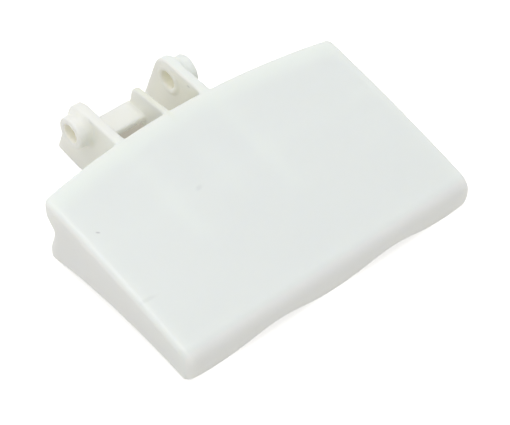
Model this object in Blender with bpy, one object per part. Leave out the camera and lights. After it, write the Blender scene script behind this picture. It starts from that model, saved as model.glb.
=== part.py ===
"""Door handle of a front-loading washing machine: one white plastic moulding.

The wide curved flap is the grip. It is a thin shell, open underneath, with a rolled
grip edge whose lower rim waves in three lobes. Two lugs with hollow bosses stand out
behind it and take the hinge pins, and a short web and a fin stiffen them. Lugs and fin
run on through the rear wall and under the face as ribs.

Lengths are in metres and angles in degrees. x runs along the handle, y from the grip
edge to the hinge and z up from the table that the part lies on, face up. The origin is
the middle of the part's footprint.
"""

import math

import bmesh
import bpy
from mathutils import Vector

# Flap, seen from above
FLAP_LENGTH = 0.1106       # along the rear wall
FLAP_DEPTH = 0.0655        # from the rear corners forward to the grip edge
REAR_BULGE = 0.0060        # the rear wall bows out by this at mid length
LEFT_TAPER = 0.0006        # the left end draws in by this towards the grip edge
RIGHT_TAPER = 0.0013       # and the right end by this
WALL = 0.0024              # thickness of the shell

# Face
FACE_HEIGHT = 0.02572      # over the table, at the rear corners
FACE_SLOPE = 11.36         # fall towards the grip edge
FACE_CROWN = 0.00115       # swell of the face over a straight slope
CROWN_MIDDLE = 0.0357      # where the swell is highest, ahead of the rear corners

# Grip edge
ROLL_RADIUS = 0.0050       # face rolling over into the lip
LIP_TUCK = 0.0022          # the lip leans back in by this at its foot
WAVE_RISE = 0.0046         # height of the scallops between the lobes
WAVE_PITCH = 0.045         # from lobe to lobe
WAVE_SHIFT = 0.0012        # middle lobe, to the right of mid length

# Rear wall and end walls
REAR_FOOT = 0.0027         # gap between the rear wall and the table
END_ARCH = 0.0027          # rise of the arch along the foot of each end wall
GROOVE_HEIGHT = 0.0149     # deepest line of the groove along the rear wall
GROOVE_DEPTH = 0.0034
GROOVE_UPPER = 0.0054      # run of its upper side
GROOVE_LOWER = 0.0095      # run of its lower side
FOOT_SETBACK = 0.0009      # the foot of the rear wall stays ahead of its top by this

# Edge roundings of the flap
REAR_EDGE_RADIUS = 0.0016
FOOT_RADIUS = 0.0008
INNER_RADIUS = 0.0010
END_REAR_RADIUS = 0.0015
END_TOP_RADIUS = 0.0018
LEFT_CORNER_RADIUS = 0.0024
RIGHT_CORNER_RADIUS = 0.0008
END_FOOT_RADIUS = 0.0006

# Hinge lugs
LUG_GAP = 0.0299           # between their inner faces
LUG_SHIFT = -0.0071        # middle of the pair, from mid length
LUG_THICKNESS = 0.0034
PIVOT_REACH = 0.0218       # pin axis behind the rear corners
PIVOT_HEIGHT = 0.0203
LUG_ROUND_RADIUS = 0.0068
LUG_ROUND_SHIFT = 0.0006   # middle of the round end, behind the pin axis
HEEL_REACH = 0.0368        # rearmost corner behind the rear corners
HEEL_HEIGHT = 0.0015
HEEL_SLOPE = 7.5           # lower edge, falling from the heel to the table
LUG_FOOT = 0.008           # length of lug that lies on the table
LUG_EDGE_RADIUS = 0.0005

# Bosses, pin bores and the raised rings round the bores
BOSS_HEIGHT = 0.0046
BOSS_RADIUS = 0.0054
BOSS_FLARE = 0.0014        # swell of the boss where it leaves the lug
FLARE_HEIGHT = 0.0026
BOSS_EDGE_RADIUS = 0.0004
BORE_RADIUS = 0.0030
BORE_CHAMFER = 0.0004
RING_RADIUS = 0.0049
RING_HEIGHT = 0.0005
RING_EDGE_RADIUS = 0.0002

# Web and fin between the lugs
FIN_GAP = 0.01575          # clear length of the web, left lug to fin
FIN_THICKNESS = 0.0020
FIN_REACH = 0.0194         # middle of the fin's round nose, behind the rear corners
FIN_HEIGHT = 0.0256
FIN_NOSE_RADIUS = 0.0030
FIN_FOOT = 0.0060          # height of the fin's lower edge at the rear wall
WEB_FRONT = 0.0155         # behind the rear corners
WEB_DEPTH = 0.0091
WEB_HEIGHT = 0.0181        # top of the web over the table
WEB_THICKNESS = 0.0023
WEB_EDGE_RADIUS = 0.0003

# Ribs under the face
LUG_RIB_REACH = 0.037      # ahead of the rear corners
FIN_RIB_REACH = 0.030
RIB_DEPTH = 0.008          # below the inside of the face, at a rib's front end
RIB_LIFT = 0.0006          # the lugs' undersides clear the foot of the rear wall by this
CROSS_RIB_BACK = 0.022     # lengthwise rib, ahead of the rear corners
CROSS_RIB_THICKNESS = 0.0016

# Fineness of the mesh
LENGTH_STEPS = 36
CAVITY_STEPS = 18
END_STEPS = 5
CORNER_STEPS = 3
FACE_STEPS = 6
WALL_STEPS = 11
ROLL_STEPS = 7
LIP_STEPS = 3
UNDERSIDE_STEPS = 9
ROUND_STEPS = 8
TURN_STEPS = 32
FLARE_STEPS = 4
EDGE_SEGMENTS = 2

# Overlaps of pieces that are joined, and how far a cutter passes the surface it cuts
OVERLAP = 0.0010
PASS = 0.0050
BORE_PASS = 0.0003
MERGE = 0.000002           # points closer than this are one

HALF = FLAP_LENGTH / 2
REAR_Y = (FLAP_DEPTH - HEEL_REACH) / 2
FRONT_Y = REAR_Y - FLAP_DEPTH
PIVOT = (REAR_Y + PIVOT_REACH, PIVOT_HEIGHT)
LUG_INNER_LEFT = LUG_SHIFT - LUG_GAP / 2
LUG_INNER_RIGHT = LUG_SHIFT + LUG_GAP / 2


def new_object(name, bm):
    """Turns a bmesh into an object of the scene, with its faces pointing out."""
    bmesh.ops.recalc_face_normals(bm, faces=bm.faces)
    mesh = bpy.data.meshes.new(name)
    bm.to_mesh(mesh)
    bm.free()
    item = bpy.data.objects.new(name, mesh)
    bpy.context.scene.collection.objects.link(item)
    return item


def loft(name, rings):
    """Closed solid through rings of equally many points, capped at both ends."""
    bm = bmesh.new()
    rows = [[bm.verts.new(point) for point in ring] for ring in rings]
    for row, following in zip(rows, rows[1:]):
        for i in range(len(row)):
            j = (i + 1) % len(row)
            bm.faces.new((row[i], row[j], following[j], following[i]))
    bm.faces.new(rows[0])
    bm.faces.new(rows[-1])
    return new_object(name, bm)


def plate(name, outline, left, right, edge):
    """Flat plate with a (y, z) outline between two x values, its sharp edges rounded."""
    item = loft(name, [[(x, y, z) for y, z in outline] for x in (left, right)])
    bm = bmesh.new()
    bm.from_mesh(item.data)
    sharp = [e for e in bm.edges if e.calc_face_angle() > math.radians(30)]
    bmesh.ops.bevel(bm, geom=sharp, offset=edge, segments=EDGE_SEGMENTS, profile=0.5,
                    affect="EDGES", clamp_overlap=True)
    bm.to_mesh(item.data)
    bm.free()
    return item


def turned(name, profile, side):
    """Solid turned about the pin axis from (x, radius) pairs; side is -1 or 1."""
    bm = bmesh.new()
    rows = []
    for x, radius in profile:
        row = []
        for i in range(TURN_STEPS):
            angle = 2 * math.pi * i / TURN_STEPS
            y = PIVOT[0] + radius * math.cos(angle)
            z = PIVOT[1] + radius * math.sin(angle)
            row.append(bm.verts.new((side * x, y, z)))
        rows.append(row)
    for row, following in zip(rows, rows[1:]):
        for i in range(TURN_STEPS):
            j = (i + 1) % TURN_STEPS
            bm.faces.new((row[i], row[j], following[j], following[i]))
    bm.faces.new(rows[0])
    bm.faces.new(rows[-1])
    return new_object(name, bm)


def combine(item, tool, operation):
    """Joins a tool to an object, or cuts it out, and removes the tool.

    Points that the step leaves closer together than MERGE are made one.
    """
    step = item.modifiers.new(operation.lower(), "BOOLEAN")
    step.operation = operation
    step.solver = "EXACT"
    step.object = tool
    graph = bpy.context.evaluated_depsgraph_get()
    result = bpy.data.meshes.new_from_object(item.evaluated_get(graph))
    item.modifiers.remove(step)
    bm = bmesh.new()
    bm.from_mesh(result)
    bmesh.ops.remove_doubles(bm, verts=bm.verts, dist=MERGE)
    bmesh.ops.dissolve_degenerate(bm, edges=bm.edges, dist=MERGE)
    bm.to_mesh(result)
    bm.free()
    old = item.data
    item.data = result
    bpy.data.meshes.remove(old)
    bpy.data.objects.remove(tool)


def steps(start, end, count):
    """count + 1 values evenly from start to end."""
    return [start + (end - start) * i / count for i in range(count + 1)]


def corner(vertex, start, end):
    """Round corner at a vertex, tangent to the lines from it to start and to end."""
    points = []
    for i in range(CORNER_STEPS + 1):
        turn = math.pi / 2 * i / CORNER_STEPS
        a = 1 - math.sin(turn)
        b = 1 - math.cos(turn)
        points.append(tuple(v + a * (s - v) + b * (e - v)
                            for v, s, e in zip(vertex, start, end)))
    return points


def rear_line(x):
    """y of the rear wall's upper part at a place along the handle."""
    radius = (REAR_BULGE ** 2 + HALF ** 2) / (2 * REAR_BULGE)
    return REAR_Y + REAR_BULGE - radius + math.sqrt(radius ** 2 - x ** 2)


def face_height(y):
    """Height of the face's outer surface."""
    back = y - REAR_Y
    swell = 1 - ((back + CROWN_MIDDLE) / CROWN_MIDDLE) ** 2
    return FACE_HEIGHT + math.tan(math.radians(FACE_SLOPE)) * back + FACE_CROWN * swell


def roll_angle():
    """Angle through which the grip edge rolls, from the face to upright."""
    y = FRONT_Y + ROLL_RADIUS
    small = ROLL_RADIUS / 100
    fall = (face_height(y + small) - face_height(y - small)) / (2 * small)
    return math.pi / 2 - math.atan(fall)


def groove(z):
    """How far the rear wall stands ahead of its upper part at a height."""
    above = z - GROOVE_HEIGHT
    if above >= 0:
        share = min(above / GROOVE_UPPER, 1)
        return GROOVE_DEPTH * (1 + math.cos(math.pi * share)) / 2
    share = min(-above / GROOVE_LOWER, 1)
    return FOOT_SETBACK + (GROOVE_DEPTH - FOOT_SETBACK) * (1 + math.cos(math.pi * share)) / 2


def wave(x):
    """Height of the lip's foot: nothing at the lobes and WAVE_RISE at the scallops."""
    return WAVE_RISE * (1 - math.cos(2 * math.pi * (x - WAVE_SHIFT) / WAVE_PITCH)) / 2


def foot_height(x, y):
    """Height of the flap's lower rim: flat under the lip and the rear wall, arched between."""
    share = (y - FRONT_Y - WALL) / (FLAP_DEPTH - 2 * WALL)
    share = min(max(share, 0), 1)
    return wave(x) + (REAR_FOOT - wave(x)) * share + END_ARCH * 4 * share * (1 - share)


def placed(x, section):
    """A section's (y, z) points in space, with the taper of the flap's ends."""
    taper = LEFT_TAPER if x < 0 else RIGHT_TAPER
    return [(x * (1 - taper / HALF * (REAR_Y - y) / FLAP_DEPTH), y, z) for y, z in section]


def end_inset(radius, distance):
    """How far a surface draws in at a distance from the end of the flap."""
    if distance >= radius:
        return 0
    return radius - math.sqrt(radius ** 2 - (radius - distance) ** 2)


def flap_section(x):
    """Outer section of the flap at a place along the handle, rounded off at its ends."""
    distance = HALF - abs(x)
    rear_in = end_inset(END_REAR_RADIUS, distance)
    top_in = end_inset(END_TOP_RADIUS, distance)
    front_radius = LEFT_CORNER_RADIUS if x < 0 else RIGHT_CORNER_RADIUS
    front = FRONT_Y + end_inset(front_radius, distance)
    foot_in = end_inset(END_FOOT_RADIUS, distance)

    def rear(z):
        return rear_line(x) - groove(z) - rear_in

    def top(y):
        return face_height(y) - top_in

    roll = roll_angle()
    roll_y = front + ROLL_RADIUS * (1 - math.cos(roll))
    roll_z = top(roll_y) - ROLL_RADIUS * math.sin(roll)

    def lip(z):
        return front + LIP_TUCK * ((roll_z - z) / roll_z) ** 2

    foot = foot_height(x, front) + foot_in
    rear_foot = foot_height(x, REAR_Y) + foot_in
    rear_top = (rear(FACE_HEIGHT), top(rear(FACE_HEIGHT)))
    rear_base = (rear(rear_foot), rear_foot)
    lip_base = (lip(foot), foot)

    section = [(y, foot_height(x, y) + foot_in) for y in
               steps(lip_base[0] + FOOT_RADIUS, rear_base[0] - FOOT_RADIUS, UNDERSIDE_STEPS)[1:-1]]
    section += corner(rear_base, (rear_base[0] - FOOT_RADIUS, rear_foot),
                      (rear(rear_foot + FOOT_RADIUS), rear_foot + FOOT_RADIUS))
    section += [(rear(z), z) for z in
                steps(rear_foot + FOOT_RADIUS, rear_top[1] - REAR_EDGE_RADIUS, WALL_STEPS)[1:-1]]
    rim_y = rear_top[0] - REAR_EDGE_RADIUS
    section += corner(rear_top, (rear_top[0], rear_top[1] - REAR_EDGE_RADIUS), (rim_y, top(rim_y)))
    section += [(y, top(y)) for y in steps(rim_y, roll_y, FACE_STEPS)[1:-1]]
    for turn in steps(roll, 0, ROLL_STEPS):
        section.append((front + ROLL_RADIUS * (1 - math.cos(turn)),
                        roll_z + ROLL_RADIUS * math.sin(turn)))
    section += [(lip(z), z) for z in steps(roll_z, foot + FOOT_RADIUS, LIP_STEPS)[1:-1]]
    section += corner(lip_base, (lip(foot + FOOT_RADIUS), foot + FOOT_RADIUS),
                      (lip_base[0] + FOOT_RADIUS, foot))
    return placed(x, section)


def cavity_section(x):
    """Inner section of the shell. It runs down past the rim, so that the flap is open."""
    roll = roll_angle()
    roll_y = FRONT_Y + ROLL_RADIUS * (1 - math.cos(roll))
    roll_z = face_height(roll_y) - ROLL_RADIUS * math.sin(roll)
    inner_radius = ROLL_RADIUS - WALL

    def rear(z):
        return rear_line(x) - groove(min(z, GROOVE_HEIGHT)) - WALL

    def top(y):
        return face_height(y) - WALL

    def lip(z):
        return FRONT_Y + WALL + LIP_TUCK * ((roll_z - z) / roll_z) ** 2

    high = (rear(FACE_HEIGHT), top(rear(FACE_HEIGHT)))
    section = [(rear(0), -PASS)]
    section += [(rear(z), z) for z in steps(0, GROOVE_HEIGHT, WALL_STEPS // 2)]
    section += corner(high, (high[0], high[1] - INNER_RADIUS),
                      (high[0] - INNER_RADIUS, top(high[0] - INNER_RADIUS)))
    inner_roll_y = FRONT_Y + ROLL_RADIUS - inner_radius * math.cos(roll)
    section += [(y, top(y)) for y in steps(high[0] - INNER_RADIUS, inner_roll_y, FACE_STEPS)[1:-1]]
    for turn in steps(roll, 0, ROLL_STEPS // 2):
        section.append((FRONT_Y + ROLL_RADIUS - inner_radius * math.cos(turn),
                        roll_z + inner_radius * math.sin(turn)))
    section += [(lip(0), 0), (lip(0), -PASS)]
    return placed(x, section)


def flap():
    """The grip: an outer block rounded at its ends, hollowed from below."""
    widest = max(END_REAR_RADIUS, END_TOP_RADIUS, LEFT_CORNER_RADIUS, RIGHT_CORNER_RADIUS,
                 END_FOOT_RADIUS)
    near_end = [widest * (i / END_STEPS) ** 1.6 for i in range(END_STEPS)]
    places = [distance - HALF for distance in near_end]
    places += steps(widest - HALF, HALF - widest, LENGTH_STEPS)
    places += [HALF - distance for distance in reversed(near_end)]
    shell = loft("door_handle", [flap_section(x) for x in places])
    inner = steps(WALL - HALF, HALF - WALL, CAVITY_STEPS)
    combine(shell, loft("cavity", [cavity_section(x) for x in inner]), "DIFFERENCE")
    return shell


def under_face(start, end):
    """Points inside the thickness of the face, from start forward to end."""
    return [(y, face_height(y) - WALL / 2) for y in steps(start, end, 3)]


def fin_outline(x, middle, radius, heel, lower_edge, reach):
    """Outline of an upright fin with a round top behind the wall and a rib ahead of it.

    middle and radius give the round top, heel the corner below it, lower_edge the points
    from there to the rear wall, and reach how far the rib runs ahead of the rear corners.
    """
    wall = rear_line(x)
    away = math.hypot(middle[0] - heel[0], middle[1] - heel[1])
    lean = math.atan2(middle[1] - heel[1], middle[0] - heel[0]) - math.asin(radius / away)
    first = lean - math.pi / 2
    outline = [heel]
    for turn in steps(first, math.pi / 2, ROUND_STEPS):
        outline.append((middle[0] + radius * math.cos(turn), middle[1] + radius * math.sin(turn)))
    flush = wall - REAR_EDGE_RADIUS / 2
    outline.append((flush, face_height(flush) - REAR_EDGE_RADIUS / 8))
    rib_end = REAR_Y - reach
    outline += under_face(wall - WALL, rib_end)
    outline.append((rib_end, face_height(rib_end) - WALL - RIB_DEPTH))
    return outline + lower_edge


def lug(x, side):
    """A hinge lug: its plate, the hub with boss and ring, and the bore through both."""
    heel = (REAR_Y + HEEL_REACH, HEEL_HEIGHT)
    foot_back = heel[0] - HEEL_HEIGHT / math.tan(math.radians(HEEL_SLOPE))
    lower_edge = [(rear_line(x) - WALL, REAR_FOOT + RIB_LIFT), (foot_back - LUG_FOOT, 0),
                  (foot_back, 0)]
    middle = (PIVOT[0] + LUG_ROUND_SHIFT, PIVOT[1])
    outline = fin_outline(x, middle, LUG_ROUND_RADIUS, heel, lower_edge, LUG_RIB_REACH)
    outer = x + side * LUG_THICKNESS
    item = plate("lug", outline, x, outer, LUG_EDGE_RADIUS)
    combine(item, turned("hub", hub_profile(side * x), side), "UNION")
    return item


def hub_profile(inner):
    """Ring on the lug's inner face and flared boss on its outer face."""
    outer = inner + LUG_THICKNESS
    end = outer + BOSS_HEIGHT
    profile = [(inner - RING_HEIGHT, RING_RADIUS - RING_EDGE_RADIUS),
               (inner - RING_HEIGHT + RING_EDGE_RADIUS, RING_RADIUS),
               (outer - OVERLAP, RING_RADIUS),
               (outer - OVERLAP, BOSS_RADIUS + BOSS_FLARE)]
    for share in steps(0, 1, FLARE_STEPS):
        profile.append((outer + FLARE_HEIGHT * share, BOSS_RADIUS + BOSS_FLARE * (1 - share) ** 2))
    profile += corner((end, BOSS_RADIUS), (end - BOSS_EDGE_RADIUS, BOSS_RADIUS),
                      (end, BOSS_RADIUS - BOSS_EDGE_RADIUS))
    return profile


def bore_cutter(x, side):
    """Pin bore through a lug, chamfered at both ends."""
    start = side * x - RING_HEIGHT
    end = side * x + LUG_THICKNESS + BOSS_HEIGHT
    profile = [(start - BORE_PASS, BORE_RADIUS + BORE_CHAMFER + BORE_PASS),
               (start + BORE_CHAMFER, BORE_RADIUS), (end - BORE_CHAMFER, BORE_RADIUS),
               (end + OVERLAP, BORE_RADIUS + BORE_CHAMFER + OVERLAP)]
    return turned("bore", profile, side)


def fin():
    """The thin fin at the right end of the web."""
    left = LUG_INNER_LEFT + FIN_GAP
    x = left + FIN_THICKNESS / 2
    middle = (REAR_Y + FIN_REACH, FIN_HEIGHT - FIN_NOSE_RADIUS)
    heel = (REAR_Y + WEB_FRONT + WEB_DEPTH - WEB_EDGE_RADIUS, WEB_HEIGHT - WEB_THICKNESS)
    lower_edge = [(rear_line(x) - WALL, FIN_FOOT)]
    outline = fin_outline(x, middle, FIN_NOSE_RADIUS, heel, lower_edge, FIN_RIB_REACH)
    return plate("fin", outline, left, left + FIN_THICKNESS, WEB_EDGE_RADIUS)


def web():
    """The flat web from the left lug to the fin."""
    front = REAR_Y + WEB_FRONT
    rear = front + WEB_DEPTH
    low = WEB_HEIGHT - WEB_THICKNESS
    outline = [(front, low), (rear, low), (rear, WEB_HEIGHT), (front, WEB_HEIGHT)]
    right = LUG_INNER_LEFT + FIN_GAP + FIN_THICKNESS / 2
    return plate("web", outline, LUG_INNER_LEFT - LUG_THICKNESS / 2, right, WEB_EDGE_RADIUS)


def cross_rib():
    """The lengthwise rib under the face, from end wall to end wall."""
    middle = REAR_Y - CROSS_RIB_BACK
    front = middle - CROSS_RIB_THICKNESS / 2
    rear = middle + CROSS_RIB_THICKNESS / 2
    high = face_height(middle) - WALL / 2
    low = face_height(middle) - WALL - RIB_DEPTH
    reach = HALF - WALL / 2 - max(LEFT_TAPER, RIGHT_TAPER)
    outline = [(front, low), (rear, low), (rear, high), (front, high)]
    return loft("cross_rib", [[(x, y, z) for y, z in outline] for x in (-reach, reach)])


def white_plastic():
    """Satin white plastic."""
    material = bpy.data.materials.new("white_plastic")
    material.use_nodes = True
    shader = material.node_tree.nodes["Principled BSDF"]
    shader.inputs["Base Color"].default_value = (0.80, 0.82, 0.79, 1)
    shader.inputs["Roughness"].default_value = 0.4
    shader.inputs["Metallic"].default_value = 0
    return material


def build():
    """The whole handle as one solid."""
    handle = flap()
    combine(handle, cross_rib(), "UNION")
    combine(handle, fin(), "UNION")
    combine(handle, lug(LUG_INNER_LEFT, -1), "UNION")
    combine(handle, lug(LUG_INNER_RIGHT, 1), "UNION")
    combine(handle, web(), "UNION")
    combine(handle, bore_cutter(LUG_INNER_LEFT, -1), "DIFFERENCE")
    combine(handle, bore_cutter(LUG_INNER_RIGHT, 1), "DIFFERENCE")
    handle.data.materials.clear()
    handle.data.materials.append(white_plastic())
    handle.data.shade_smooth()
    handle.data.set_sharp_from_angle(angle=math.radians(30))
    return handle


for existing in list(bpy.data.objects):
    bpy.data.objects.remove(existing)
build()
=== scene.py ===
"""White door handle of a washing machine, dressed for its picture.

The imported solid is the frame. Its place is taken by the same moulding with finer curves
and softly rounded edges. The plastic, its small marks, the floor, the light and the
camera are made here too. Lengths are in metres and angles in degrees.
"""

import math

import bmesh
import bpy
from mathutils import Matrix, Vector
from mathutils.bvhtree import BVHTree


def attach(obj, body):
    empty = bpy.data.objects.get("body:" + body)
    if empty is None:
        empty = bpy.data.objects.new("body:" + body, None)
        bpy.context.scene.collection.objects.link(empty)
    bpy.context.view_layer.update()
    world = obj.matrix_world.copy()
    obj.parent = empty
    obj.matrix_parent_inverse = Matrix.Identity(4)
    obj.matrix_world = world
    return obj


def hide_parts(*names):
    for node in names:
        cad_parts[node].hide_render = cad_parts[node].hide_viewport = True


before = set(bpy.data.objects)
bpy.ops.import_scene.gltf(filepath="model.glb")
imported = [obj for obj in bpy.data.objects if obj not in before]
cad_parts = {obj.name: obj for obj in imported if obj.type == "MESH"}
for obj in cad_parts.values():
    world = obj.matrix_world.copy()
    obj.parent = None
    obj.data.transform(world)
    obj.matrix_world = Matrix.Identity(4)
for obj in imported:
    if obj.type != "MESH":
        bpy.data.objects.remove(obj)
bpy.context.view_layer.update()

# Softened mesh
VOXEL = 0.00040            # spacing of the even mesh
SMOOTH_ROUNDS = 7
SMOOTH_STRENGTH = 0.5
SNAP_NEAR = 0.00004        # a point this near the sharp form goes back onto it
SNAP_FAR = 0.00010         # a point this far stays on the rounding
MOST_TRIANGLES = 190000

# Camera, where the photograph was taken from
LOOK_AT = Vector((0.00406, -0.01006, 0))
AZIMUTH = -40.244
ELEVATION = 45.862
DISTANCE = 0.58108
LENS = 134.74
SENSOR = 36

# Light
SKY = 0.60
KEY_PLACE = Vector((-0.17, 0.01, 0.92))
KEY_SIZE = 0.9
KEY_POWER = 4.3

# Floor, a little warm as the sides are in the photograph. It glows where it is seen,
# straight or by reflection, save between the lugs, where a painted shadow darkens it.
FLOOR_SIZE = 6.0
FLOOR_ROUGHNESS = 0.9
FLOOR_COLOUR = (0.79, 0.77, 0.735, 1)
# painted shadow colour of the floor between the lugs
FLOOR_PAINTED_SHADOW = (0.52, 0.49, 0.43, 1)
FLOOR_GLOW = 0.68
SHADE_FULL = 0.0435        # the painted shadow is full as far back as this
SHADE_NONE = 0.0515        # and gone here

# Colours of the plastic, with painted light on its edges, lugs, gap, web and bores
FACE_WHITE = (0.824, 0.872, 0.830, 1)
# painted light: the rounded left end and the grip lip, lighter and warmer than the face
EDGE_WHITE_PAINTED_LIGHT = (0.866, 0.884, 0.850, 1)
# painted warm light on the lugs, which are the same white plastic as the flap
LUG_WHITE_PAINTED_WARM_LIGHT = (0.846, 0.854, 0.803, 1)
# painted glow: the same plastic made lighter and yellower between the fin and the right lug
GAP_PAINTED_GLOW = (0.98, 0.985, 0.86, 1)
# the fin's top edge, darker and yellower than the lugs
FIN_TOP_DARKER_YELLOW = (0.79, 0.81, 0.69, 1)
# painted warm glow on the web's front face, which lies in shade
WEB_FRONT_PAINTED_GLOW = (0.98, 0.96, 0.85, 1)
# painted warm glow on the walls of the bores
BORE_PAINTED_GLOW = (0.97, 0.935, 0.81, 1)
MARK_GREY = (0.48, 0.50, 0.50, 1)

# Where one colour turns into the next
COLOUR_EDGE = 0.0004       # width of a sharp change
PAINTED_LIGHT_START = 0.001        # the lugs' painted warm light starts this far ahead of the rear corners
PAINTED_LIGHT_FULL = 0.012         # and is full this far behind them
GAP_START = 0.003          # the gap's painted glow is full this far behind them
GAP_MIDDLE = Vector((0.0015, 0.0300, 0.0100))
GAP_FULL = 0.010           # distance from its middle at which it is full
GAP_NONE = 0.019           # and at which it is gone

# Surface of the plastic
ROUGHNESS = 0.42
REFRACTION = 1.49
SUBSURFACE_SHARE = 0.8     # share of the light that goes into the plastic and out again
SUBSURFACE_REACH = (0.005, 0.0048, 0.0042)
GRAIN_SCALE = 900
GRAIN_DETAIL = 2
GRAIN_STRENGTH = 0.08
GRAIN_HEIGHT = 0.0001

# Marks on the face: middle (x, y), half length, half width, turn, strength
SPECK = ((-0.0496, -0.0042), 0.00095, 0.00045, -40, 0.65)
SCUFF = ((-0.0518, -0.0298), 0.0036, 0.0010, -5, 0.15)
SMUDGE = ((-0.0158, -0.0082), 0.0019, 0.0011, 20, 0.16)

# Nick on the right lug's inner face, with its middle in (y, z)
NICK = ((0.02605, 0.02445), 0.0011, 0.0005, 0, 0.6)
MARK_CORE = 0.2            # inner share of a mark, in which it has its full strength

# Flap, seen from above
FLAP_LENGTH = 0.1106       # along the rear wall
FLAP_DEPTH = 0.0655        # from the rear corners forward to the grip edge
REAR_BULGE = 0.0060        # the rear wall bows out by this at mid length
LEFT_TAPER = 0.0006        # the left end draws in by this towards the grip edge
RIGHT_TAPER = 0.0013       # and the right end by this
WALL = 0.0024              # thickness of the shell

# Face
FACE_HEIGHT = 0.02572      # over the table, at the rear corners
FACE_SLOPE = 11.36         # fall towards the grip edge
FACE_CROWN = 0.00115       # swell of the face over a straight slope
CROWN_MIDDLE = 0.0357      # where the swell is highest, ahead of the rear corners

# Grip edge
ROLL_RADIUS = 0.0050       # face rolling over into the lip
LIP_TUCK = 0.0022          # the lip leans back in by this at its foot
WAVE_RISE = 0.0046         # height of the scallops between the lobes
WAVE_PITCH = 0.045         # from lobe to lobe
WAVE_SHIFT = 0.0012        # middle lobe, to the right of mid length

# Rear wall and end walls
REAR_FOOT = 0.0027         # gap between the rear wall and the table
END_ARCH = 0.0027          # rise of the arch along the foot of each end wall
GROOVE_HEIGHT = 0.0149     # deepest line of the groove along the rear wall
GROOVE_DEPTH = 0.0034
GROOVE_UPPER = 0.0054      # run of its upper side
GROOVE_LOWER = 0.0095      # run of its lower side
FOOT_SETBACK = 0.0009      # the foot of the rear wall stays ahead of its top by this

# Edge roundings of the flap
REAR_EDGE_RADIUS = 0.0016
FOOT_RADIUS = 0.0008
INNER_RADIUS = 0.0010
END_REAR_RADIUS = 0.0015
END_TOP_RADIUS = 0.0018
LEFT_CORNER_RADIUS = 0.0024
RIGHT_CORNER_RADIUS = 0.0008
END_FOOT_RADIUS = 0.0006

# Hinge lugs
LUG_GAP = 0.0299           # between their inner faces
LUG_SHIFT = -0.0071        # middle of the pair, from mid length
LUG_THICKNESS = 0.0034
PIVOT_REACH = 0.0218       # pin axis behind the rear corners
PIVOT_HEIGHT = 0.0203
LUG_ROUND_RADIUS = 0.0068
LUG_ROUND_SHIFT = 0.0006   # middle of the round end, behind the pin axis
HEEL_REACH = 0.0368        # rearmost corner behind the rear corners
HEEL_HEIGHT = 0.0015
HEEL_SLOPE = 7.5           # lower edge, falling from the heel to the table
LUG_FOOT = 0.008           # length of lug that lies on the table
LUG_EDGE_RADIUS = 0.0005

# Bosses, pin bores and the raised rings round the bores
BOSS_HEIGHT = 0.0046
BOSS_RADIUS = 0.0054
BOSS_FLARE = 0.0014        # swell of the boss where it leaves the lug
FLARE_HEIGHT = 0.0026
BOSS_EDGE_RADIUS = 0.0004
BORE_RADIUS = 0.0030
BORE_CHAMFER = 0.0004
RING_RADIUS = 0.0049
RING_HEIGHT = 0.0005
RING_EDGE_RADIUS = 0.0002

# Web and fin between the lugs
FIN_GAP = 0.01575          # clear length of the web, left lug to fin
FIN_THICKNESS = 0.0020
FIN_REACH = 0.0194         # middle of the fin's round nose, behind the rear corners
FIN_HEIGHT = 0.0256
FIN_NOSE_RADIUS = 0.0030
FIN_FOOT = 0.0060          # height of the fin's lower edge at the rear wall
WEB_FRONT = 0.0155         # behind the rear corners
WEB_DEPTH = 0.0091
WEB_HEIGHT = 0.0181        # top of the web over the table
WEB_THICKNESS = 0.0023
WEB_EDGE_RADIUS = 0.0003

# Ribs under the face
LUG_RIB_REACH = 0.037      # ahead of the rear corners
FIN_RIB_REACH = 0.030
RIB_DEPTH = 0.008          # below the inside of the face, at a rib's front end
RIB_LIFT = 0.0006          # the lugs' undersides clear the foot of the rear wall by this
CROSS_RIB_BACK = 0.022     # lengthwise rib, ahead of the rear corners
CROSS_RIB_THICKNESS = 0.0016

# Fineness of the mesh
LENGTH_STEPS = 150
CAVITY_STEPS = 110
END_STEPS = 10
CORNER_STEPS = 8
FACE_STEPS = 40
WALL_STEPS = 36
ROLL_STEPS = 24
LIP_STEPS = 8
UNDERSIDE_STEPS = 36
ROUND_STEPS = 36
TURN_STEPS = 120
FLARE_STEPS = 14
EDGE_SEGMENTS = 4
END_CROWDING = 1.6         # sections crowd together towards the flap's ends by this power
SHARP_ANGLE = 30           # edges of a plate that turn by more than this are rounded

# Overlaps of pieces that are joined, and how far a cutter passes the surface it cuts
OVERLAP = 0.0010
PASS = 0.0050
BORE_PASS = 0.0003

HALF = FLAP_LENGTH / 2
REAR_Y = (FLAP_DEPTH - HEEL_REACH) / 2
FRONT_Y = REAR_Y - FLAP_DEPTH
PIVOT = (REAR_Y + PIVOT_REACH, PIVOT_HEIGHT)
LUG_INNER_LEFT = LUG_SHIFT - LUG_GAP / 2
LUG_INNER_RIGHT = LUG_SHIFT + LUG_GAP / 2
FIN_LEFT = LUG_INNER_LEFT + FIN_GAP
FIN_RIGHT = FIN_LEFT + FIN_THICKNESS


def new_object(name, bm):
    """Turns a bmesh into an object of the scene, with its faces pointing out."""
    bmesh.ops.recalc_face_normals(bm, faces=bm.faces)
    mesh = bpy.data.meshes.new(name)
    bm.to_mesh(mesh)
    bm.free()
    item = bpy.data.objects.new(name, mesh)
    bpy.context.scene.collection.objects.link(item)
    return item


def loft(name, rings):
    """Closed solid through rings of equally many points, capped at both ends."""
    bm = bmesh.new()
    rows = [[bm.verts.new(point) for point in ring] for ring in rings]
    for row, following in zip(rows, rows[1:]):
        for i in range(len(row)):
            j = (i + 1) % len(row)
            bm.faces.new((row[i], row[j], following[j], following[i]))
    bm.faces.new(rows[0])
    bm.faces.new(rows[-1])
    return new_object(name, bm)


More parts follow.
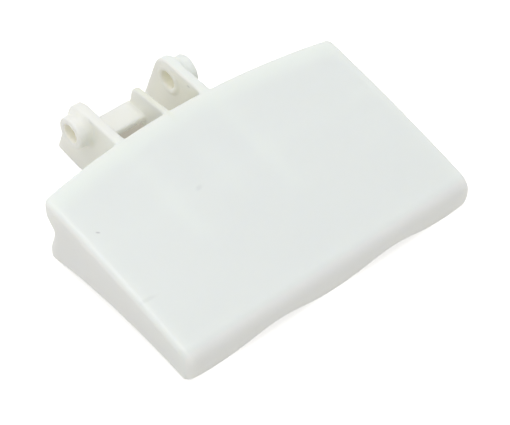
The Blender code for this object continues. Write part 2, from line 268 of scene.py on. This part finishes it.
def plate(name, outline, left, right, edge):
    """Flat plate with a (y, z) outline between two x values, its sharp edges rounded."""
    item = loft(name, [[(x, y, z) for y, z in outline] for x in (left, right)])
    bm = bmesh.new()
    bm.from_mesh(item.data)
    sharp = [e for e in bm.edges if e.calc_face_angle() > math.radians(SHARP_ANGLE)]
    bmesh.ops.bevel(bm, geom=sharp, offset=edge, segments=EDGE_SEGMENTS, profile=0.5,
                    affect="EDGES", clamp_overlap=True)
    bm.to_mesh(item.data)
    bm.free()
    return item


def turned(name, profile, side):
    """Solid turned about the pin axis from (x, radius) pairs; side is -1 or 1."""
    turns = [2 * math.pi * i / TURN_STEPS for i in range(TURN_STEPS)]
    return loft(name, [[(side * x, PIVOT[0] + radius * math.cos(turn),
                         PIVOT[1] + radius * math.sin(turn)) for turn in turns]
                       for x, radius in profile])


def keep_modified(item):
    """Replaces an object's mesh by its modified form and drops the modifiers."""
    graph = bpy.context.evaluated_depsgraph_get()
    result = bpy.data.meshes.new_from_object(item.evaluated_get(graph))
    item.modifiers.clear()
    old = item.data
    item.data = result
    bpy.data.meshes.remove(old)


def combine(item, tool, operation):
    """Joins a tool to an object, or cuts it out, and removes the tool."""
    step = item.modifiers.new(operation.lower(), "BOOLEAN")
    step.operation = operation
    step.solver = "EXACT"
    step.object = tool
    keep_modified(item)
    bpy.data.objects.remove(tool)


def steps(start, end, count):
    """count + 1 values evenly from start to end."""
    return [start + (end - start) * i / count for i in range(count + 1)]


def corner(vertex, start, end):
    """Round corner at a vertex, tangent to the lines from it to start and to end."""
    points = []
    for i in range(CORNER_STEPS + 1):
        turn = math.pi / 2 * i / CORNER_STEPS
        a = 1 - math.sin(turn)
        b = 1 - math.cos(turn)
        points.append(tuple(v + a * (s - v) + b * (e - v)
                            for v, s, e in zip(vertex, start, end)))
    return points


def rear_line(x):
    """y of the rear wall's upper part at a place along the handle."""
    radius = (REAR_BULGE ** 2 + HALF ** 2) / (2 * REAR_BULGE)
    return REAR_Y + REAR_BULGE - radius + math.sqrt(radius ** 2 - x ** 2)


def face_height(y):
    """Height of the face's outer surface."""
    back = y - REAR_Y
    swell = 1 - ((back + CROWN_MIDDLE) / CROWN_MIDDLE) ** 2
    return FACE_HEIGHT + math.tan(math.radians(FACE_SLOPE)) * back + FACE_CROWN * swell


def roll_angle():
    """Angle through which the grip edge rolls, from the face to upright."""
    y = FRONT_Y + ROLL_RADIUS
    small = ROLL_RADIUS / 100
    fall = (face_height(y + small) - face_height(y - small)) / (2 * small)
    return math.pi / 2 - math.atan(fall)


def groove(z):
    """How far the rear wall stands ahead of its upper part at a height."""
    above = z - GROOVE_HEIGHT
    if above >= 0:
        share = min(above / GROOVE_UPPER, 1)
        return GROOVE_DEPTH * (1 + math.cos(math.pi * share)) / 2
    share = min(-above / GROOVE_LOWER, 1)
    return FOOT_SETBACK + (GROOVE_DEPTH - FOOT_SETBACK) * (1 + math.cos(math.pi * share)) / 2


def wave(x):
    """Height of the lip's foot: nothing at the lobes and WAVE_RISE at the scallops."""
    return WAVE_RISE * (1 - math.cos(2 * math.pi * (x - WAVE_SHIFT) / WAVE_PITCH)) / 2


def foot_height(x, y):
    """Height of the flap's lower rim: flat under the lip and the rear wall, arched between."""
    share = (y - FRONT_Y - WALL) / (FLAP_DEPTH - 2 * WALL)
    share = min(max(share, 0), 1)
    return wave(x) + (REAR_FOOT - wave(x)) * share + END_ARCH * 4 * share * (1 - share)


def placed(x, section):
    """A section's (y, z) points in space, with the taper of the flap's ends."""
    taper = LEFT_TAPER if x < 0 else RIGHT_TAPER
    return [(x * (1 - taper / HALF * (REAR_Y - y) / FLAP_DEPTH), y, z) for y, z in section]


def end_inset(radius, distance):
    """How far a surface draws in at a distance from the end of the flap."""
    if distance >= radius:
        return 0
    return radius - math.sqrt(radius ** 2 - (radius - distance) ** 2)


def flap_section(x):
    """Outer section of the flap at a place along the handle, rounded off at its ends."""
    distance = HALF - abs(x)
    rear_in = end_inset(END_REAR_RADIUS, distance)
    top_in = end_inset(END_TOP_RADIUS, distance)
    front_radius = LEFT_CORNER_RADIUS if x < 0 else RIGHT_CORNER_RADIUS
    front = FRONT_Y + end_inset(front_radius, distance)
    foot_in = end_inset(END_FOOT_RADIUS, distance)

    def rear(z):
        return rear_line(x) - groove(z) - rear_in

    def top(y):
        return face_height(y) - top_in

    roll = roll_angle()
    roll_y = front + ROLL_RADIUS * (1 - math.cos(roll))
    roll_z = top(roll_y) - ROLL_RADIUS * math.sin(roll)

    def lip(z):
        return front + LIP_TUCK * ((roll_z - z) / roll_z) ** 2

    foot = foot_height(x, front) + foot_in
    rear_foot = foot_height(x, REAR_Y) + foot_in
    rear_top = (rear(FACE_HEIGHT), top(rear(FACE_HEIGHT)))
    rear_base = (rear(rear_foot), rear_foot)
    lip_base = (lip(foot), foot)

    section = [(y, foot_height(x, y) + foot_in) for y in
               steps(lip_base[0] + FOOT_RADIUS, rear_base[0] - FOOT_RADIUS, UNDERSIDE_STEPS)[1:-1]]
    section += corner(rear_base, (rear_base[0] - FOOT_RADIUS, rear_foot),
                      (rear(rear_foot + FOOT_RADIUS), rear_foot + FOOT_RADIUS))
    section += [(rear(z), z) for z in
                steps(rear_foot + FOOT_RADIUS, rear_top[1] - REAR_EDGE_RADIUS, WALL_STEPS)[1:-1]]
    rim_y = rear_top[0] - REAR_EDGE_RADIUS
    section += corner(rear_top, (rear_top[0], rear_top[1] - REAR_EDGE_RADIUS), (rim_y, top(rim_y)))
    section += [(y, top(y)) for y in steps(rim_y, roll_y, FACE_STEPS)[1:-1]]
    for turn in steps(roll, 0, ROLL_STEPS):
        section.append((front + ROLL_RADIUS * (1 - math.cos(turn)),
                        roll_z + ROLL_RADIUS * math.sin(turn)))
    section += [(lip(z), z) for z in steps(roll_z, foot + FOOT_RADIUS, LIP_STEPS)[1:-1]]
    section += corner(lip_base, (lip(foot + FOOT_RADIUS), foot + FOOT_RADIUS),
                      (lip_base[0] + FOOT_RADIUS, foot))
    return placed(x, section)


def cavity_section(x):
    """Inner section of the shell. It runs down past the rim, so that the flap is open."""
    roll = roll_angle()
    roll_y = FRONT_Y + ROLL_RADIUS * (1 - math.cos(roll))
    roll_z = face_height(roll_y) - ROLL_RADIUS * math.sin(roll)
    inner_radius = ROLL_RADIUS - WALL

    def rear(z):
        return rear_line(x) - groove(min(z, GROOVE_HEIGHT)) - WALL

    def top(y):
        return face_height(y) - WALL

    def lip(z):
        return FRONT_Y + WALL + LIP_TUCK * ((roll_z - z) / roll_z) ** 2

    high = (rear(FACE_HEIGHT), top(rear(FACE_HEIGHT)))
    section = [(rear(0), -PASS)]
    section += [(rear(z), z) for z in steps(0, GROOVE_HEIGHT, WALL_STEPS // 2)]
    section += corner(high, (high[0], high[1] - INNER_RADIUS),
                      (high[0] - INNER_RADIUS, top(high[0] - INNER_RADIUS)))
    inner_roll_y = FRONT_Y + ROLL_RADIUS - inner_radius * math.cos(roll)
    section += [(y, top(y)) for y in steps(high[0] - INNER_RADIUS, inner_roll_y, FACE_STEPS)[1:-1]]
    for turn in steps(roll, 0, ROLL_STEPS // 2):
        section.append((FRONT_Y + ROLL_RADIUS - inner_radius * math.cos(turn),
                        roll_z + inner_radius * math.sin(turn)))
    section += [(lip(0), 0), (lip(0), -PASS)]
    return placed(x, section)


def flap():
    """The grip: an outer block rounded at its ends, hollowed from below."""
    widest = max(END_REAR_RADIUS, END_TOP_RADIUS, LEFT_CORNER_RADIUS, RIGHT_CORNER_RADIUS,
                 END_FOOT_RADIUS)
    near_end = [widest * (i / END_STEPS) ** END_CROWDING for i in range(END_STEPS)]
    places = [away - HALF for away in near_end]
    places += steps(widest - HALF, HALF - widest, LENGTH_STEPS)
    places += [HALF - away for away in reversed(near_end)]
    shell = loft("handle_moulding", [flap_section(x) for x in places])
    inner = steps(WALL - HALF, HALF - WALL, CAVITY_STEPS)
    combine(shell, loft("cavity", [cavity_section(x) for x in inner]), "DIFFERENCE")
    return shell


def under_face(start, end):
    """Points inside the thickness of the face, from start forward to end."""
    return [(y, face_height(y) - WALL / 2) for y in steps(start, end, 3)]


def fin_outline(x, middle, radius, heel, lower_edge, reach):
    """Outline of an upright fin with a round top behind the wall and a rib ahead of it.

    middle and radius give the round top, heel the corner below it, lower_edge the points
    from there to the rear wall, and reach how far the rib runs ahead of the rear corners.
    """
    wall = rear_line(x)
    away = math.hypot(middle[0] - heel[0], middle[1] - heel[1])
    lean = math.atan2(middle[1] - heel[1], middle[0] - heel[0]) - math.asin(radius / away)
    first = lean - math.pi / 2
    outline = [heel]
    for turn in steps(first, math.pi / 2, ROUND_STEPS):
        outline.append((middle[0] + radius * math.cos(turn), middle[1] + radius * math.sin(turn)))
    flush = wall - REAR_EDGE_RADIUS / 2
    outline.append((flush, face_height(flush) - REAR_EDGE_RADIUS / 8))
    rib_end = REAR_Y - reach
    outline += under_face(wall - WALL, rib_end)
    outline.append((rib_end, face_height(rib_end) - WALL - RIB_DEPTH))
    return outline + lower_edge


def lug(x, side):
    """A hinge lug: its plate, the hub with boss and ring, and the bore through both."""
    heel = (REAR_Y + HEEL_REACH, HEEL_HEIGHT)
    foot_back = heel[0] - HEEL_HEIGHT / math.tan(math.radians(HEEL_SLOPE))
    lower_edge = [(rear_line(x) - WALL, REAR_FOOT + RIB_LIFT), (foot_back - LUG_FOOT, 0),
                  (foot_back, 0)]
    middle = (PIVOT[0] + LUG_ROUND_SHIFT, PIVOT[1])
    outline = fin_outline(x, middle, LUG_ROUND_RADIUS, heel, lower_edge, LUG_RIB_REACH)
    outer = x + side * LUG_THICKNESS
    item = plate("lug", outline, x, outer, LUG_EDGE_RADIUS)
    combine(item, turned("hub", hub_profile(side * x), side), "UNION")
    return item


def hub_profile(inner):
    """Ring on the lug's inner face and flared boss on its outer face."""
    outer = inner + LUG_THICKNESS
    end = outer + BOSS_HEIGHT
    profile = [(inner - RING_HEIGHT, RING_RADIUS - RING_EDGE_RADIUS),
               (inner - RING_HEIGHT + RING_EDGE_RADIUS, RING_RADIUS),
               (outer - OVERLAP, RING_RADIUS),
               (outer - OVERLAP, BOSS_RADIUS + BOSS_FLARE)]
    for share in steps(0, 1, FLARE_STEPS):
        profile.append((outer + FLARE_HEIGHT * share, BOSS_RADIUS + BOSS_FLARE * (1 - share) ** 2))
    profile += corner((end, BOSS_RADIUS), (end - BOSS_EDGE_RADIUS, BOSS_RADIUS),
                      (end, BOSS_RADIUS - BOSS_EDGE_RADIUS))
    return profile


def bore_cutter(x, side):
    """Pin bore through a lug, chamfered at both ends."""
    start = side * x - RING_HEIGHT
    end = side * x + LUG_THICKNESS + BOSS_HEIGHT
    profile = [(start - BORE_PASS, BORE_RADIUS + BORE_CHAMFER + BORE_PASS),
               (start + BORE_CHAMFER, BORE_RADIUS), (end - BORE_CHAMFER, BORE_RADIUS),
               (end + OVERLAP, BORE_RADIUS + BORE_CHAMFER + OVERLAP)]
    return turned("bore", profile, side)


def fin():
    """The thin fin at the right end of the web."""
    x = (FIN_LEFT + FIN_RIGHT) / 2
    middle = (REAR_Y + FIN_REACH, FIN_HEIGHT - FIN_NOSE_RADIUS)
    heel = (REAR_Y + WEB_FRONT + WEB_DEPTH - WEB_EDGE_RADIUS, WEB_HEIGHT - WEB_THICKNESS)
    lower_edge = [(rear_line(x) - WALL, FIN_FOOT)]
    outline = fin_outline(x, middle, FIN_NOSE_RADIUS, heel, lower_edge, FIN_RIB_REACH)
    return plate("fin", outline, FIN_LEFT, FIN_RIGHT, WEB_EDGE_RADIUS)


def web():
    """The flat web from the left lug to the fin."""
    front = REAR_Y + WEB_FRONT
    rear = front + WEB_DEPTH
    low = WEB_HEIGHT - WEB_THICKNESS
    outline = [(front, low), (rear, low), (rear, WEB_HEIGHT), (front, WEB_HEIGHT)]
    left = LUG_INNER_LEFT - LUG_THICKNESS / 2
    return plate("web", outline, left, (FIN_LEFT + FIN_RIGHT) / 2, WEB_EDGE_RADIUS)


def cross_rib():
    """The lengthwise rib under the face, from end wall to end wall."""
    middle = REAR_Y - CROSS_RIB_BACK
    front = middle - CROSS_RIB_THICKNESS / 2
    rear = middle + CROSS_RIB_THICKNESS / 2
    high = face_height(middle) - WALL / 2
    low = face_height(middle) - WALL - RIB_DEPTH
    reach = HALF - WALL / 2 - max(LEFT_TAPER, RIGHT_TAPER)
    outline = [(front, low), (rear, low), (rear, high), (front, high)]
    return loft("cross_rib", [[(x, y, z) for y, z in outline] for x in (-reach, reach)])


def moulding():
    """The whole handle as one solid."""
    handle = flap()
    combine(handle, cross_rib(), "UNION")
    combine(handle, fin(), "UNION")
    combine(handle, lug(LUG_INNER_LEFT, -1), "UNION")
    combine(handle, lug(LUG_INNER_RIGHT, 1), "UNION")
    combine(handle, web(), "UNION")
    combine(handle, bore_cutter(LUG_INNER_LEFT, -1), "DIFFERENCE")
    combine(handle, bore_cutter(LUG_INNER_RIGHT, 1), "DIFFERENCE")
    return handle


def soften(item):
    """Evens out the mesh and rounds its edges a little, as the mould's edges are."""
    bm = bmesh.new()
    bm.from_mesh(item.data)
    sharp_form = BVHTree.FromBMesh(bm)
    bm.free()
    even = item.modifiers.new("even", "REMESH")
    even.mode = "VOXEL"
    even.voxel_size = VOXEL
    smooth = item.modifiers.new("smooth", "SMOOTH")
    smooth.factor = SMOOTH_STRENGTH
    smooth.iterations = SMOOTH_ROUNDS
    keep_modified(item)
    for vertex in item.data.vertices:
        near, _, _, distance = sharp_form.find_nearest(vertex.co)
        if distance < SNAP_FAR:
            share = min((SNAP_FAR - distance) / (SNAP_FAR - SNAP_NEAR), 1)
            vertex.co = vertex.co.lerp(near, share)
    fewer = item.modifiers.new("fewer", "DECIMATE")
    fewer.ratio = min(1, MOST_TRIANGLES / (2 * len(item.data.polygons)))
    keep_modified(item)
    item.data.shade_smooth()


def node(tree, kind, **settings):
    """Adds a shader node with its settings."""
    made = tree.nodes.new(kind)
    for name, value in settings.items():
        setattr(made, name, value)
    return made


def sums(tree, operation, first, second=None, third=None):
    """Adds a Math node and returns its result. A value is a number or a socket."""
    made = node(tree, "ShaderNodeMath", operation=operation)
    for socket, value in zip(made.inputs, (first, second, third)):
        if value is None:
            continue
        if isinstance(value, (int, float)):
            socket.default_value = value
        else:
            tree.links.new(value, socket)
    return made.outputs[0]


def fade(tree, value, start, end):
    """0 where a value is at start or before, 1 at end or after, smooth between."""
    made = node(tree, "ShaderNodeMapRange", interpolation_type="SMOOTHSTEP")
    tree.links.new(value, made.inputs["Value"])
    made.inputs["From Min"].default_value = start
    made.inputs["From Max"].default_value = end
    return made.outputs["Result"]


def blend_colour(tree, share, first, second):
    """Mix of two colours. Each is a tuple or a socket, and share is 0 for the first."""
    made = node(tree, "ShaderNodeMix", data_type="RGBA")
    for socket, value in ((made.inputs[0], share), (made.inputs[6], first),
                          (made.inputs[7], second)):
        if isinstance(value, (int, float, tuple)):
            socket.default_value = value
        else:
            tree.links.new(value, socket)
    return made.outputs[2]


def length(tree, first, second):
    """Length of a flat vector from its two parts."""
    return sums(tree, "SQRT", sums(tree, "MULTIPLY_ADD", first, first,
                                   sums(tree, "MULTIPLY", second, second)))


def spot(tree, across, along, mark):
    """Soft elliptical mark, from 0 outside to its strength in the middle."""
    (middle_across, middle_along), half_length, half_width, turn, strength = mark
    cosine = math.cos(math.radians(turn))
    sine = math.sin(math.radians(turn))
    across = sums(tree, "SUBTRACT", across, middle_across)
    along = sums(tree, "SUBTRACT", along, middle_along)
    u = sums(tree, "MULTIPLY_ADD", across, cosine / half_length,
             sums(tree, "MULTIPLY", along, sine / half_length))
    v = sums(tree, "MULTIPLY_ADD", along, cosine / half_width,
             sums(tree, "MULTIPLY", across, -sine / half_width))
    return sums(tree, "MULTIPLY", fade(tree, length(tree, u, v), 1, MARK_CORE), strength)


def product(tree, first, *others):
    """Product of several shares."""
    for other in others:
        first = sums(tree, "MULTIPLY", first, other)
    return first


def distance_from(tree, place, point):
    """Distance of a place from a fixed point."""
    made = node(tree, "ShaderNodeVectorMath", operation="DISTANCE")
    tree.links.new(place, made.inputs[0])
    made.inputs[1].default_value = point
    return made.outputs["Value"]


def coordinates(tree):
    """Place on the object, whole and as x, y and z."""
    place = node(tree, "ShaderNodeTexCoord").outputs["Object"]
    split = node(tree, "ShaderNodeSeparateXYZ")
    tree.links.new(place, split.inputs[0])
    return place, *split.outputs


def flap_and_lug_colours(tree, place, x, y):
    """White flap, with painted light making the lugs creamier and the gap by the fin yellowish."""
    # Painted light: the rounded left end and the grip lip get a lighter, warmer white.
    left_end = fade(tree, x, END_TOP_RADIUS / 2 - HALF, END_TOP_RADIUS / 6 - HALF)
    lip = fade(tree, y, FRONT_Y + ROLL_RADIUS / 2, FRONT_Y + ROLL_RADIUS / 4)
    edges = sums(tree, "MAXIMUM", left_end, lip)
    colour = blend_colour(tree, edges, FACE_WHITE, EDGE_WHITE_PAINTED_LIGHT)
    # Painted warm light on the lugs, behind the rear corners.
    behind = fade(tree, y, REAR_Y - PAINTED_LIGHT_START, REAR_Y + PAINTED_LIGHT_FULL)
    colour = blend_colour(tree, behind, colour, LUG_WHITE_PAINTED_WARM_LIGHT)

    # Painted yellowish glow on the plastic from the fin to the right lug, round a point low in the
    # gap.
    past_fin = fade(tree, x, FIN_LEFT - COLOUR_EDGE, FIN_LEFT)
    near_gap = fade(tree, distance_from(tree, place, GAP_MIDDLE), GAP_NONE, GAP_FULL)
    past_wall = fade(tree, y, REAR_Y, REAR_Y + GAP_START)
    colour = blend_colour(tree, product(tree, past_wall, past_fin, near_gap), colour, GAP_PAINTED_GLOW)
    # The fin's top edge is darker and yellower.
    fin_top = product(tree, behind, fade(tree, x, FIN_LEFT, FIN_LEFT + COLOUR_EDGE),
                      fade(tree, x, FIN_RIGHT, FIN_RIGHT - COLOUR_EDGE))
    colour = blend_colour(tree, fin_top, colour, FIN_TOP_DARKER_YELLOW)
    far = fade(tree, x, LUG_INNER_RIGHT + COLOUR_EDGE, LUG_INNER_RIGHT + 2 * COLOUR_EDGE)
    return blend_colour(tree, product(tree, behind, far), colour, FACE_WHITE)


def web_colour(tree, colour, x, y):
    """Adds a painted warm glow to the web's front face, which lies in shade."""
    left = fade(tree, x, LUG_INNER_LEFT - COLOUR_EDGE, LUG_INNER_LEFT)
    right = fade(tree, x, FIN_LEFT, FIN_LEFT - COLOUR_EDGE)
    front = REAR_Y + WEB_FRONT
    clear_of_wall = fade(tree, y, front - 2 * COLOUR_EDGE, front - COLOUR_EDGE)
    front_face = fade(tree, y, front + WEB_EDGE_RADIUS, front)
    painted_glow = product(tree, left, right, clear_of_wall, front_face)
    return blend_colour(tree, painted_glow, colour, WEB_FRONT_PAINTED_GLOW)


def bore_colour(tree, colour, x, y, z):
    """Adds a painted warm glow to the walls of the bores."""
    away = length(tree, sums(tree, "SUBTRACT", y, PIVOT[0]), sums(tree, "SUBTRACT", z, PIVOT[1]))
    in_bore = fade(tree, away, BORE_RADIUS + COLOUR_EDGE, BORE_RADIUS)
    from_middle = sums(tree, "ABSOLUTE", sums(tree, "SUBTRACT", x, LUG_SHIFT))
    ring_face = LUG_GAP / 2 - RING_HEIGHT
    on_lugs = fade(tree, from_middle, ring_face - COLOUR_EDGE, ring_face)
    return blend_colour(tree, product(tree, in_bore, on_lugs), colour, BORE_PAINTED_GLOW)


def mark_colours(tree, colour, x, y, z):
    """Adds the marks of the photograph to a colour."""
    right_face = fade(tree, x, LUG_INNER_RIGHT - COLOUR_EDGE, LUG_INNER_RIGHT)
    nick = product(tree, spot(tree, y, z, NICK), right_face)
    colour = blend_colour(tree, nick, colour, MARK_GREY)
    for mark in (SPECK, SCUFF, SMUDGE):
        colour = blend_colour(tree, spot(tree, x, y, mark), colour, MARK_GREY)
    return colour


def handle_plastic():
    """Satin white plastic, with painted light on the lugs and the small marks of the photograph.
    """
    material = bpy.data.materials.new("white_plastic_detailed")
    material.use_nodes = True
    tree = material.node_tree
    shader = tree.nodes["Principled BSDF"]
    place, x, y, z = coordinates(tree)
    colour = flap_and_lug_colours(tree, place, x, y)
    colour = web_colour(tree, colour, x, y)
    colour = bore_colour(tree, colour, x, y, z)
    colour = mark_colours(tree, colour, x, y, z)
    tree.links.new(colour, shader.inputs["Base Color"])
    shader.inputs["Roughness"].default_value = ROUGHNESS
    shader.inputs["IOR"].default_value = REFRACTION
    shader.inputs["Subsurface Weight"].default_value = SUBSURFACE_SHARE
    shader.inputs["Subsurface Radius"].default_value = SUBSURFACE_REACH
    shader.inputs["Subsurface Scale"].default_value = 1

    grain = node(tree, "ShaderNodeTexNoise")
    grain.inputs["Scale"].default_value = GRAIN_SCALE
    grain.inputs["Detail"].default_value = GRAIN_DETAIL
    tree.links.new(place, grain.inputs["Vector"])
    bump = node(tree, "ShaderNodeBump")
    bump.inputs["Strength"].default_value = GRAIN_STRENGTH
    bump.inputs["Distance"].default_value = GRAIN_HEIGHT
    tree.links.new(grain.outputs[0], bump.inputs["Height"])
    tree.links.new(bump.outputs[0], shader.inputs["Normal"])
    return material


def handle_moulding():
    """The moulding in its place on the frame."""
    handle = moulding()
    soften(handle)
    handle.data.materials.clear()
    handle.data.materials.append(handle_plastic())
    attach(handle, "root")
    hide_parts("door_handle")


def seen_rays(tree):
    """1 for rays that show the surroundings, straight or by reflection, and 0 for light."""
    path = node(tree, "ShaderNodeLightPath")
    mirrored = sums(tree, "MAXIMUM", path.outputs["Is Glossy Ray"],
                    path.outputs["Is Transmission Ray"])
    return sums(tree, "MAXIMUM", path.outputs["Is Camera Ray"], mirrored)


def floor():
    """White floor that keeps the shadow, and is seen brighter where it is open."""
    half = FLOOR_SIZE / 2
    mesh = bpy.data.meshes.new("floor")
    mesh.from_pydata([(-half, -half, 0), (half, -half, 0), (half, half, 0), (-half, half, 0)],
                     [], [(0, 1, 2, 3)])
    item = bpy.data.objects.new("floor", mesh)
    bpy.context.scene.collection.objects.link(item)
    material = bpy.data.materials.new("floor_white")
    material.use_nodes = True
    tree = material.node_tree
    shader = tree.nodes["Principled BSDF"]
    shader.inputs["Roughness"].default_value = FLOOR_ROUGHNESS
    shader.inputs["Specular IOR Level"].default_value = 0
    shader.inputs["Emission Color"].default_value = (1, 1, 1, 1)
    seen = seen_rays(tree)
    _, x, y, _ = coordinates(tree)
    # Painted shadow: where seen, the floor between the lugs is darker and does not glow.
    shade = product(tree, seen, fade(tree, y, SHADE_NONE, SHADE_FULL),
                    fade(tree, y, REAR_Y - WALL, REAR_Y),
                    fade(tree, x, LUG_INNER_LEFT - LUG_THICKNESS, LUG_INNER_LEFT),
                    fade(tree, x, LUG_INNER_RIGHT + LUG_THICKNESS, LUG_INNER_RIGHT))
    colour = blend_colour(tree, shade, FLOOR_COLOUR, FLOOR_PAINTED_SHADOW)
    tree.links.new(colour, shader.inputs["Base Color"])
    glow = product(tree, sums(tree, "SUBTRACT", seen, shade), FLOOR_GLOW)
    tree.links.new(glow, shader.inputs["Emission Strength"])
    mesh.materials.append(material)


def light():
    """Even white surroundings and one wide soft lamp overhead."""
    world = bpy.data.worlds.new("studio")
    bpy.context.scene.world = world
    world.use_nodes = True
    tree = world.node_tree
    surroundings = tree.nodes["Background"]
    surroundings.inputs["Color"].default_value = (1, 1, 1, 1)
    strength = sums(tree, "MULTIPLY_ADD", seen_rays(tree), 1 - SKY, SKY)
    tree.links.new(strength, surroundings.inputs["Strength"])
    lamp = bpy.data.lights.new("overhead", "AREA")
    lamp.energy = KEY_POWER
    lamp.size = KEY_SIZE
    item = bpy.data.objects.new("overhead", lamp)
    bpy.context.scene.collection.objects.link(item)
    item.location = KEY_PLACE
    item.rotation_euler = (-KEY_PLACE).to_track_quat("-Z", "Y").to_euler()


def camera():
    """The camera at the photograph's place and angle."""
    azimuth = math.radians(AZIMUTH)
    elevation = math.radians(ELEVATION)
    back = Vector((math.sin(azimuth) * math.cos(elevation),
                   -math.cos(azimuth) * math.cos(elevation), math.sin(elevation)))
    lens = bpy.data.cameras.new("camera")
    lens.lens = LENS
    lens.sensor_width = SENSOR
    item = bpy.data.objects.new("camera", lens)
    bpy.context.scene.collection.objects.link(item)
    item.location = LOOK_AT + back * DISTANCE
    item.rotation_euler = (-back).to_track_quat("-Z", "Y").to_euler()
    bpy.context.scene.camera = item


camera()
light()
floor()
handle_moulding()
bpy.context.scene.view_settings.view_transform = "Standard"
